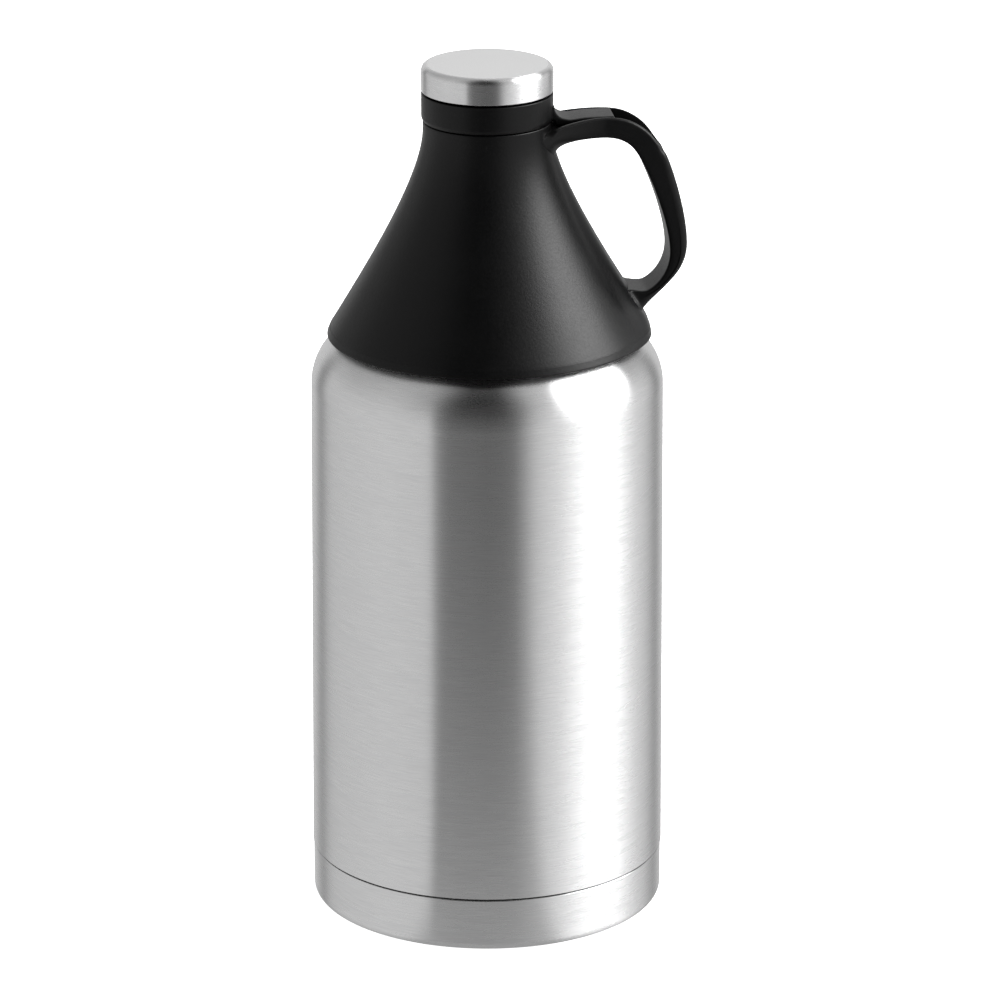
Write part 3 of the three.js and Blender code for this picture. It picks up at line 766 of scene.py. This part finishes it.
def cone_shell(material):
    crease_r, crease_z = CONE_CREASE
    outside = [point for point in cone_side(0) if point[1] > crease_z + 0.5]
    inside = [point for point in cone_side(-CONE_WALL) if CONE_FOOT + 3 < point[1] < 287][::-1]
    bore = CONE_NECK_RADIUS - CONE_WALL
    outline = rounded([
        (CONE_RIM_RADIUS - 2.9, CONE_FOOT, 0.3), (CONE_RIM_RADIUS - 0.05, CONE_FOOT, 0.75),
        (crease_r, crease_z, 0.15),
    ], 6)
    outline += outside
    outline += rounded([
        (CONE_NECK_RADIUS, CONE_TOP - 1), (CONE_NECK_RADIUS, CONE_TOP, 0.4), (19.3, CONE_TOP, 0.3),
        (19.3, CONE_TOP - CONE_WALL, 0.3), (bore, CONE_TOP - CONE_WALL, 0.5), inside[0],
    ])
    outline += inside[1:]
    shell = lathe(outline, 288, raise_land)
    return finish_mesh("cone_skin", shell, material, "top", ["cone_shell"], 50)


def pour_funnel(material):
    wall = FUNNEL_WALL
    flange_r, flange_z, collar = 51.4, 218.8, 19
    outline = rounded([
        (SKIRT_BORE, flange_z, 0.3), (flange_r, flange_z, 0.4), (flange_r, flange_z + 1.8, 0.4),
        (SKIRT_RADIUS, flange_z + 1.8, 0.8), (SKIRT_RADIUS, DECK_Z + 2.4, 0.8),
        (FUNNEL_FOOT_RADIUS + wall, DECK_Z + 2.4, 0.8), (27.3 + wall, DECK_Z + 4),
    ])
    outline += [point for point in funnel_side(wall) if point[1] > DECK_Z + 5]
    outline += rounded([
        (SPOUT_RADIUS - 0.3, CONE_TOP - CONE_WALL - 1), (collar, CONE_TOP - CONE_WALL - 0.3),
        (collar, CONE_TOP, 0.3), (SPOUT_RADIUS, CONE_TOP, 0.5), (SPOUT_RADIUS, SPOUT_TOP, 0.6),
        (SPOUT_BORE, SPOUT_TOP, 0.6), (SPOUT_BORE, 287),
    ])
    outline += funnel_side(0)[::-1]
    outline += [(SKIRT_BORE, DECK_Z)]
    mouth_start = MOUTH_THREAD_START + MOUTH_PITCH / 2
    mouth = thread_ridge(SKIRT_BORE, 32.1, MOUTH_PITCH, mouth_start, 1.25, 2, 1)
    spout = thread_ridge(SPOUT_RADIUS, 18.2, SPOUT_PITCH, SPOUT_THREAD_START, 1.25, 1.5, 0.7)
    funnel = combine(combine(lathe(outline, 160), mouth, "UNION"), spout, "UNION")
    return finish_mesh("funnel_liner", funnel, material, "top", ["pour_funnel"])


def cone_insulation(material):
    bottom, top, clearance = 221, 284, 0.5
    step = 246                        # height where the ring closes in from the skirt to the funnel
    outline = rounded([(SKIRT_RADIUS + clearance, bottom, 1), (49.8, bottom, 1)])
    outline += [p for p in cone_side(-CONE_WALL - clearance) if bottom + 2 < p[1] < top]
    outline += [(20.2, top), (17.3, top)]
    outline += [p for p in funnel_side(FUNNEL_WALL + clearance) if step < p[1] < top - 2][::-1]
    outline += [(30.6, step), (30.6, DECK_Z + 3), (SKIRT_RADIUS + clearance, DECK_Z + 3)]
    return finish_mesh("cone_foam", lathe(outline, 128), material, "top", ["cone_insulation"])


def handle(material):
    arm = combine(handle_arm(), cone_core(-0.05), "DIFFERENCE")
    return finish_mesh("handle_loop", arm, material, "top", ["handle"], 40)


def handle_screw(name, seat, rise, length, material):
    """Self-tapping screw: domed head and a sharp thread along a tapering shank."""
    outline = rounded([(0, -1.6), (1.9, -1.6, 0.9), (1.9, 0, 0.2), (1, 0)], 4)
    pitch = 0.7
    along = 0.4
    while along < length - 1.6:
        outline += [(0.75, along), (1.0, along + pitch / 2)]
        along += pitch
    outline += [(0.75, length - 1.2), (0.1, length), (0, length)]
    screw = lathe(outline, 32)
    turn = Matrix.Rotation(math.pi / 2 - math.radians(rise), 4, "Y")
    bmesh.ops.transform(screw, matrix=Matrix.Translation(seat) @ turn, verts=screw.verts)
    return finish_mesh(name + "_threaded", screw, material, "top", [name])


# ---- Cap and its keeper ----
def cap_keeper(material):
    lip = KEEPER_BORE + 1.2
    rebate_top = KEEPER_BOTTOM + 2.4
    neck_clear = 23.3                 # just outside the cone's neck, where the tongue steps down
    ring = lathe(rounded([
        (lip, KEEPER_BOTTOM, 0.2), (KEEPER_RADIUS - 0.55, KEEPER_BOTTOM, 0.25),
        (KEEPER_RADIUS, KEEPER_BOTTOM + 1.25, 0.5), (KEEPER_RADIUS, KEEPER_TOP, 0.4),
        (KEEPER_BORE, KEEPER_TOP, 0.3), (KEEPER_BORE, KEEPER_BOTTOM + 2.6, 0.1),
        (lip, rebate_top, 0.1),
    ], 5), 256)
    top = []
    for i in range(13):
        point, _ = bezier((29.4, 294.45), (26, 294.6), (23.7, 295.9), (23.35, 299.4), i / 12)
        top.append(tuple(point))
    tongue = extrude_across(rounded([
        (18, KEEPER_BOTTOM), (neck_clear, KEEPER_BOTTOM, 0.2), (23.9, 292.2, 0.6),
        (TONGUE_END, TONGUE_BOTTOM, 0.5), (TONGUE_END, 295.3, 1.3), (36, 295.15, 2),
    ], 5) + top + [(18, 299.4)], TONGUE_WIDTH, TONGUE_EDGE_ROUND)
    bore = lathe([(0, 280), (KEEPER_BORE + 0.5, 280), (KEEPER_BORE + 0.5, 320), (0, 320)], 256)
    recess = lathe([(0, 280), (lip + 0.1, 280), (lip + 0.1, rebate_top), (0, rebate_top)], 256)
    tongue = combine(combine(tongue, bore, "DIFFERENCE"), recess, "DIFFERENCE")
    keeper = combine(ring, tongue, "UNION")
    return finish_mesh("keeper_ring", keeper, material, "keeper", ["cap_keeper"], 42)


def cap_cover(side, top):
    wall = 0.7
    centre_r = CAP_RADIUS - CAP_EDGE_ROUND
    centre_z = CAP_TOP - CAP_EDGE_ROUND
    outline = []
    for i in range(9):
        r = centre_r * i / 8
        outline.append((r, CAP_TOP - wall + CAP_CROWN * (1 - (r / centre_r) ** 2)))
    outline += arc(centre_r, centre_z, CAP_EDGE_ROUND - wall, 90, 0, 8)[1:]
    outline += rounded([
        (CAP_RADIUS - wall, 308), (CAP_RADIUS - wall, CAP_BOTTOM, 0.3), (CAP_RADIUS, CAP_BOTTOM, 0.35),
        (CAP_RADIUS, 308),
    ], 5)
    outline += arc(centre_r, centre_z, CAP_EDGE_ROUND, 0, 90, 14)
    for i in range(7, -1, -1):
        r = centre_r * i / 8
        outline.append((r, CAP_TOP + CAP_CROWN * (1 - (r / centre_r) ** 2)))
    cover = finish_mesh("cap_skin", lathe(outline, 256), side, "cap", ["cap_cover"])
    cover.data.materials.append(top)
    level = 0.97                      # least upward part of the normal on the satin top
    for face in cover.data.polygons:
        if face.normal.z > level and face.center.z > (CAP_TOP - 1) * MM:
            face.material_index = 1
    return cover


def cap_body(material):
    lip = CAP_SKIRT_RADIUS + 1.1
    cup_radius, cup_bottom = 22.6, KEEPER_TOP + 0.35
    outline = rounded([
        (0, 304.1), (CAP_BORE, 304.1, 0.4), (CAP_BORE, KEEPER_BOTTOM, 0.3), (lip, KEEPER_BOTTOM, 0.35),
        (lip, KEEPER_BOTTOM + 1.7, 0.3), (CAP_SKIRT_RADIUS, KEEPER_BOTTOM + 2, 0.2),
        (CAP_SKIRT_RADIUS, cup_bottom, 0.4), (cup_radius, cup_bottom, 0.3),
        (cup_radius, 312.6, 0.3), (21, 312.6, 0.3), (21, 305.9, 0.5), (0, 305.9),
    ])
    start = SPOUT_THREAD_START + SPOUT_PITCH / 2
    thread = thread_ridge(CAP_BORE, 17.6, SPOUT_PITCH, start, 1.1, 1.5, 0.7)
    body = combine(lathe(outline, 160), thread, "UNION")
    return finish_mesh("cap_insert", body, material, "cap", ["cap_body"])


def cap_fill(foam, rubber):
    """Foam disc under the cover, and the washer that seals on the spout's rim."""
    disc = lathe(rounded([(0, 306.2), (20.7, 306.2, 0.8), (20.7, 312.8, 0.8), (0, 312.8)]), 96)
    finish_mesh("cap_foam", disc, foam, "cap", ["cap_insulation"])
    bottom, top = SPOUT_TOP + 0.3, 303.8
    washer = lathe(rounded([
        (12.5, bottom, 0.4), (18.3, bottom, 0.5), (18.3, top, 0.5), (12.5, top, 0.4),
    ]), 96)
    finish_mesh("cap_washer", washer, rubber, "cap", ["cap_gasket"])


# ---- Studio ----
def grey_ramp(tree, value, stops):
    """Colour ramp from (angle in degrees, brightness) stops over -180..180."""
    node = add(tree, "ShaderNodeValToRGB", {"Fac": value})
    ramp = node.color_ramp
    while len(ramp.elements) < len(stops):
        ramp.elements.new(0.5)
    for element, (angle, _) in zip(ramp.elements, stops):
        element.position = (angle + 180) / 360
    for element, (_, level) in zip(ramp.elements, stops):
        element.color = (level, level, level, 1)
    return node.outputs["Color"]


# Brightness round the growler, by angle from the camera's side, positive to its right.
LOW_LIGHT = [
    (-180, 0.70), (-150, 0.62), (-143, 0.36), (-137, 0.28), (-132, 0.47), (-126, 0.65), (-75, 0.73),
    (-45, 0.73), (-39, 0.72), (-36.5, 0.62), (-34.5, 0.35), (-31, 0.24), (-24, 0.16), (0, 0.12), (10, 0.13),
    (18, 0.17), (24, 0.37), (31, 0.63), (35, 0.72), (42, 0.83), (57, 0.92), (80, 0.82), (99, 0.74),
    (110, 0.86), (119, 0.81), (128, 0.69), (134, 0.54), (141, 0.31), (147, 0.36), (155, 0.66), (180, 0.70),
]
HIGH_LIGHT = [
    (-180, 1.0), (-150, 0.45), (-125, 0.42), (-75, 0.54), (-58, 0.46), (-42, 0.30), (-30, 0.06), (-20, 0.01),
    (0, 0.005), (12, 0.02), (24, 0.16), (36, 0.50), (55, 0.75), (80, 0.8), (110, 0.5), (135, 0.4), (180, 1.0),
]
OVERHEAD = 0.3
UNDERNEATH = 0.5
KEY_AZIMUTH = 89
KEY_ELEVATION = 36
KEY_STRENGTH = 12.5
KEY_CORE = 6                          # degrees from its middle at full strength
KEY_EDGE = 29                         # degrees from its middle where it ends
NEAR_FLOOR = 0.45                     # brightness of the floor close to the growler, as steel reflects it
NEAR_FLOOR_FLAT = 0.08
NEAR_FLOOR_END = 0.5
NEAR_FLOOR_SECTOR = (20, 32)          # degrees either side of the camera where it fades out


def between(tree, value, low, high):
    """Smooth step of a socket's value from 0 at low to 1 at high."""
    span = add(tree, "ShaderNodeMapRange", {"Value": value, "From Min": low, "From Max": high},
               interpolation_type="SMOOTHSTEP")
    return span.outputs["Result"]


def camera_side_angle(tree, vector):
    """The vector turned so that the camera's side is -Y, and its angle round Z as a share of a turn."""
    turned = add(tree, "ShaderNodeVectorRotate", {"Vector": vector, "Angle": math.radians(-CAMERA_AZIMUTH)},
                 rotation_type="Z_AXIS").outputs[0]
    split = add(tree, "ShaderNodeSeparateXYZ", {0: turned})
    back = add(tree, "ShaderNodeMath", {0: split.outputs["Y"], 1: -1}, operation="MULTIPLY").outputs[0]
    angle = add(tree, "ShaderNodeMath", {0: split.outputs["X"], 1: back}, operation="ARCTAN2").outputs[0]
    share = add(tree, "ShaderNodeMath", {0: angle, 1: 1 / (2 * math.pi), 2: 0.5},
                operation="MULTIPLY_ADD").outputs[0]
    return turned, split.outputs["Z"], share


def studio_light():
    """World light: soft panels at both sides, a dark gap behind the camera, and a key panel on the right."""
    world = bpy.data.worlds.new("studio")
    bpy.context.scene.world = world
    world.use_nodes = True
    tree = world.node_tree
    direction = add(tree, "ShaderNodeTexCoord").outputs["Generated"]
    turned, height, share = camera_side_angle(tree, direction)

    def blend(factor, a, b):
        """Mix of two greys. The Mix node keeps its colours on inputs 6 and 7 and on output 2."""
        mix = add(tree, "ShaderNodeMix", {"Factor": factor}, data_type="RGBA")
        for index, value in ((6, a), (7, b)):
            if isinstance(value, bpy.types.NodeSocket):
                tree.links.new(value, mix.inputs[index])
            else:
                mix.inputs[index].default_value = (value, value, value, 1)
        return mix.outputs[2]

    low = grey_ramp(tree, share, LOW_LIGHT)
    high = grey_ramp(tree, share, HIGH_LIGHT)
    sides = blend(between(tree, height, 0.1, 0.5), low, high)
    up = blend(between(tree, height, 0.96, 1), sides, OVERHEAD)
    down = blend(between(tree, height, -0.6, -0.95), up, UNDERNEATH)

    azimuth, elevation = math.radians(KEY_AZIMUTH), math.radians(KEY_ELEVATION)
    aside = math.cos(elevation)
    key = (math.sin(azimuth) * aside, -math.cos(azimuth) * aside, math.sin(elevation))
    facing = add(tree, "ShaderNodeVectorMath", {0: turned, 1: key}, operation="DOT_PRODUCT").outputs["Value"]
    core, edge = math.cos(math.radians(KEY_CORE)), math.cos(math.radians(KEY_EDGE))
    panel = add(tree, "ShaderNodeMath", {0: between(tree, facing, edge, core), 1: KEY_STRENGTH},
                operation="MULTIPLY").outputs[0]
    total = add(tree, "ShaderNodeVectorMath", {0: down, 1: panel}, operation="ADD").outputs[0]
    tree.links.new(total, tree.nodes["Background"].inputs["Color"])


def floor_reflection():
    """The lit floor close to the growler, in front of the dark gap, that only reflections see."""
    bpy.ops.mesh.primitive_circle_add(vertices=96, radius=NEAR_FLOOR_END, fill_type="NGON",
                                      location=(0, 0, -0.0001))
    card = bpy.context.object
    card.name = "floor_reflection"
    material = bpy.data.materials.new("floor_reflection")
    material.use_nodes = True
    tree = material.node_tree
    tree.nodes.remove(tree.nodes["Principled BSDF"])
    place = object_place(tree)
    _, _, share = camera_side_angle(tree, place)
    distance = add(tree, "ShaderNodeVectorMath", {0: place}, operation="LENGTH").outputs["Value"]
    near = between(tree, distance, NEAR_FLOOR_END, NEAR_FLOOR_FLAT)
    aside = add(tree, "ShaderNodeMath", {0: share, 1: 0.5}, operation="SUBTRACT").outputs[0]
    off = add(tree, "ShaderNodeMath", {0: aside}, operation="ABSOLUTE").outputs[0]
    inner, outer = (angle / 360 for angle in NEAR_FLOOR_SECTOR)
    cover = add(tree, "ShaderNodeMath", {0: near, 1: between(tree, off, outer, inner)},
                operation="MULTIPLY").outputs[0]
    clear = add(tree, "ShaderNodeBsdfTransparent")
    glow = add(tree, "ShaderNodeEmission", {"Color": (NEAR_FLOOR, NEAR_FLOOR, NEAR_FLOOR, 1)})
    mix = add(tree, "ShaderNodeMixShader", {0: cover, 1: clear.outputs[0], 2: glow.outputs[0]})
    tree.links.new(mix.outputs[0], tree.nodes["Material Output"].inputs["Surface"])
    card.data.materials.append(material)
    card.visible_camera = False
    card.visible_diffuse = False
    card.visible_transmission = False
    card.visible_volume_scatter = False
    card.visible_shadow = False


def floor():
    """Plain pale sweep under the growler."""
    bpy.ops.mesh.primitive_circle_add(vertices=96, radius=6, fill_type="NGON", location=(0, 0, -0.0002))
    sweep = bpy.context.object
    sweep.name = "floor"
    material, tree, shader = new_material("floor_paper", Roughness=0.9)
    fibre = noise(tree, object_place(tree), 900, 3)
    tree.links.new(grey(tree, fibre, (0.93, 0.93, 0.93), (0.96, 0.96, 0.96)), shader.inputs["Base Color"])
    shader.inputs["Emission Color"].default_value = (1, 1, 1, 1)
    shader.inputs["Emission Strength"].default_value = 0.9
    sweep.data.materials.append(material)
    sweep.visible_glossy = False


def camera():
    data = bpy.data.cameras.new("camera")
    data.lens = CAMERA_LENS
    data.sensor_width = 36
    data.shift_x = CAMERA_SHIFT
    data.clip_end = 50
    view = bpy.data.objects.new("camera", data)
    azimuth = math.radians(CAMERA_AZIMUTH)
    view.location = (CAMERA_DISTANCE * math.sin(azimuth), -CAMERA_DISTANCE * math.cos(azimuth), CAMERA_HEIGHT)
    view.rotation_euler = (math.radians(90 - CAMERA_PITCH), 0, azimuth)
    bpy.context.collection.objects.link(view)
    bpy.context.scene.camera = view


# ---- Assembly ----
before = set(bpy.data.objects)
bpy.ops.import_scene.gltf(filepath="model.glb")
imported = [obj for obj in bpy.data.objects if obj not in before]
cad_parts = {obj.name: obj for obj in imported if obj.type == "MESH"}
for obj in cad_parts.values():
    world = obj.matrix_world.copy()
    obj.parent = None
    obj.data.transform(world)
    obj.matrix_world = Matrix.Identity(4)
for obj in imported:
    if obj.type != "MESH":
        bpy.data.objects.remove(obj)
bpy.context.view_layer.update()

camera()
studio_light()
floor()
floor_reflection()
bpy.context.scene.view_settings.view_transform = "Standard"

steel = brushed_steel()
liner_steel = raw_steel()
black = moulded_plastic("black_plastic", (0.0016, 0.0016, 0.0017), 0.35, 1100, 0.00008)
liner_black = moulded_plastic("liner_plastic", (0.006, 0.006, 0.0065), 0.36, 1500, 0.00001)
rubber = silicone()
foam = bead_foam()

outer_shell(steel, painted_gap_shade())
base_cup(steel)
inner_vessel(liner_steel)
vacuum_parts(liner_steel, sealing_glass(), getter_metal())
mouth_gasket(rubber)
cone_shell(black)
pour_funnel(liner_black)
cone_insulation(foam)
handle(black)
screw_finish = zinc()
for screw_name, (screw_seat, screw_rise, screw_length) in SCREWS.items():
    handle_screw(screw_name, screw_seat, screw_rise, screw_length, screw_finish)
cap_keeper(black)
cap_cover(steel, satin_steel())
cap_body(liner_black)
cap_fill(foam, rubber)
